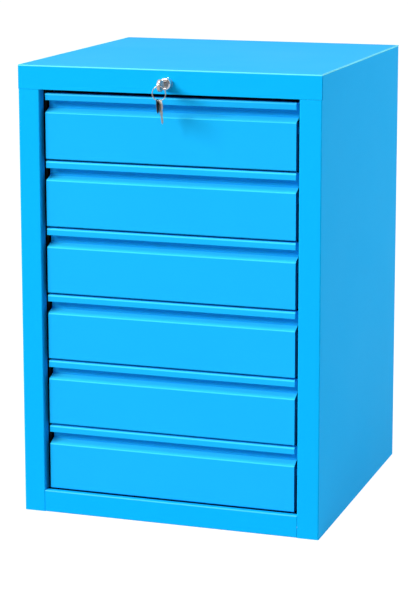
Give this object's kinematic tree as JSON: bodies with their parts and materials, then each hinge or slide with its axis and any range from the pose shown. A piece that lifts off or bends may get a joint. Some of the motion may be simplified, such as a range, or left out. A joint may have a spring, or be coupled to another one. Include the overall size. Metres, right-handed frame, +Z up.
{
  "type": "tool cabinet",
  "caption": "Upright sheet-steel tool cabinet with a stack of equal drawers, folded finger grips and one lock that bars them all.",
  "frame": {"origin": "middle of the cabinet's underside", "axes": "+X to the right seen from the front, the front faces -Y, +Z up"},
  "size_m": [0.5, 0.54, 0.735],
  "materials": {
    "shell_paint": "satin powder coat, bright blue",
    "drawer_paint": "satin powder coat, bright blue",
    "black_enamel": "satin black stove enamel",
    "zinc_plate": "bright zinc plate",
    "steel_fixings": "plated steel",
    "lock_chrome": "polished chrome",
    "key_nickel": "nickel plate"
  },
  "bodies": {
    "cabinet": {"top_cover": "shell_paint", "left_side_panel": "shell_paint", "right_side_panel": "shell_paint", "base_pan": "shell_paint", "back_panel": "shell_paint", "left_front_upright": "black_enamel", "right_front_upright": "black_enamel", "left_rear_upright": "black_enamel", "right_rear_upright": "black_enamel", "back_rivets": "steel_fixings", "lock_housing": "lock_chrome", "lock_nut": "steel_fixings", "bar_guides": "steel_fixings", "guide_bracket": "zinc_plate", "drawer_1_slides_outer": "zinc_plate", "drawer_2_slides_outer": "zinc_plate", "drawer_3_slides_outer": "zinc_plate", "drawer_4_slides_outer": "zinc_plate", "drawer_5_slides_outer": "zinc_plate", "drawer_6_slides_outer": "zinc_plate"},
    "drawer_1": {"drawer_1_front": "drawer_paint", "drawer_1_tray": "drawer_paint", "drawer_1_screws": "steel_fixings", "drawer_1_slides_inner": "zinc_plate"},
    "slides_1": {"drawer_1_slides_middle": "zinc_plate"},
    "drawer_2": {"drawer_2_front": "drawer_paint", "drawer_2_tray": "drawer_paint", "drawer_2_screws": "steel_fixings", "drawer_2_slides_inner": "zinc_plate"},
    "slides_2": {"drawer_2_slides_middle": "zinc_plate"},
    "drawer_3": {"drawer_3_front": "drawer_paint", "drawer_3_tray": "drawer_paint", "drawer_3_screws": "steel_fixings", "drawer_3_slides_inner": "zinc_plate"},
    "slides_3": {"drawer_3_slides_middle": "zinc_plate"},
    "drawer_4": {"drawer_4_front": "drawer_paint", "drawer_4_tray": "drawer_paint", "drawer_4_screws": "steel_fixings", "drawer_4_slides_inner": "zinc_plate"},
    "slides_4": {"drawer_4_slides_middle": "zinc_plate"},
    "drawer_5": {"drawer_5_front": "drawer_paint", "drawer_5_tray": "drawer_paint", "drawer_5_screws": "steel_fixings", "drawer_5_slides_inner": "zinc_plate"},
    "slides_5": {"drawer_5_slides_middle": "zinc_plate"},
    "drawer_6": {"drawer_6_front": "drawer_paint", "drawer_6_tray": "drawer_paint", "drawer_6_screws": "steel_fixings", "drawer_6_slides_inner": "zinc_plate"},
    "slides_6": {"drawer_6_slides_middle": "zinc_plate"},
    "lock_plug": {"lock_plug": "lock_chrome", "lock_cam": "zinc_plate", "cam_screw": "steel_fixings"},
    "locking_bar": {"locking_bar": "zinc_plate", "bar_fingers": "zinc_plate"},
    "key": {"key": "key_nickel"},
    "key_ring": {"key_ring": "key_nickel"}
  },
  "joints": [
    {"name": "drawer_1_slide", "type": "slide", "parent": "cabinet", "child": "drawer_1", "axis": [0, -1, 0], "range_m": [0, 0.42]},
    {"name": "slides_1_slide", "type": "slide", "parent": "cabinet", "child": "slides_1", "axis": [0, -1, 0], "range_m": [0, 0.21]},
    {"name": "drawer_2_slide", "type": "slide", "parent": "cabinet", "child": "drawer_2", "axis": [0, -1, 0], "range_m": [0, 0.42]},
    {"name": "slides_2_slide", "type": "slide", "parent": "cabinet", "child": "slides_2", "axis": [0, -1, 0], "range_m": [0, 0.21]},
    {"name": "drawer_3_slide", "type": "slide", "parent": "cabinet", "child": "drawer_3", "axis": [0, -1, 0], "range_m": [0, 0.42]},
    {"name": "slides_3_slide", "type": "slide", "parent": "cabinet", "child": "slides_3", "axis": [0, -1, 0], "range_m": [0, 0.21]},
    {"name": "drawer_4_slide", "type": "slide", "parent": "cabinet", "child": "drawer_4", "axis": [0, -1, 0], "range_m": [0, 0.42]},
    {"name": "slides_4_slide", "type": "slide", "parent": "cabinet", "child": "slides_4", "axis": [0, -1, 0], "range_m": [0, 0.21]},
    {"name": "drawer_5_slide", "type": "slide", "parent": "cabinet", "child": "drawer_5", "axis": [0, -1, 0], "range_m": [0, 0.42]},
    {"name": "slides_5_slide", "type": "slide", "parent": "cabinet", "child": "slides_5", "axis": [0, -1, 0], "range_m": [0, 0.21]},
    {"name": "drawer_6_slide", "type": "slide", "parent": "cabinet", "child": "drawer_6", "axis": [0, -1, 0], "range_m": [0, 0.42]},
    {"name": "slides_6_slide", "type": "slide", "parent": "cabinet", "child": "slides_6", "axis": [0, -1, 0], "range_m": [0, 0.21]},
    {"name": "bar_slide", "type": "slide", "parent": "cabinet", "child": "locking_bar", "axis": [-1, 0, 0], "range_m": [0, 0.01]},
    {"name": "lock_turn", "type": "hinge", "parent": "cabinet", "child": "lock_plug", "pos_m": [0, -0.25, 0.713], "axis": [0, 1, 0], "range_deg": [0, 90]},
    {"name": "key_pull", "type": "slide", "parent": "lock_plug", "child": "key", "axis": [0, -1, 0], "range_m": [0, 0.02]},
    {"name": "ring_swing", "type": "hinge", "parent": "key", "child": "key_ring", "pos_m": [0, -0.2845, 0.7121], "axis": [-1, 0, 0], "range_deg": [-8, 95]}
  ],
  "couplings": [
    {"joint": "slides_1_slide", "follows": "drawer_1_slide", "ratio": 0.5},
    {"joint": "slides_2_slide", "follows": "drawer_2_slide", "ratio": 0.5},
    {"joint": "slides_3_slide", "follows": "drawer_3_slide", "ratio": 0.5},
    {"joint": "slides_4_slide", "follows": "drawer_4_slide", "ratio": 0.5},
    {"joint": "slides_5_slide", "follows": "drawer_5_slide", "ratio": 0.5},
    {"joint": "slides_6_slide", "follows": "drawer_6_slide", "ratio": 0.5},
    {"joint": "lock_turn", "follows": "bar_slide", "rad_per_m": 157}
  ]
}
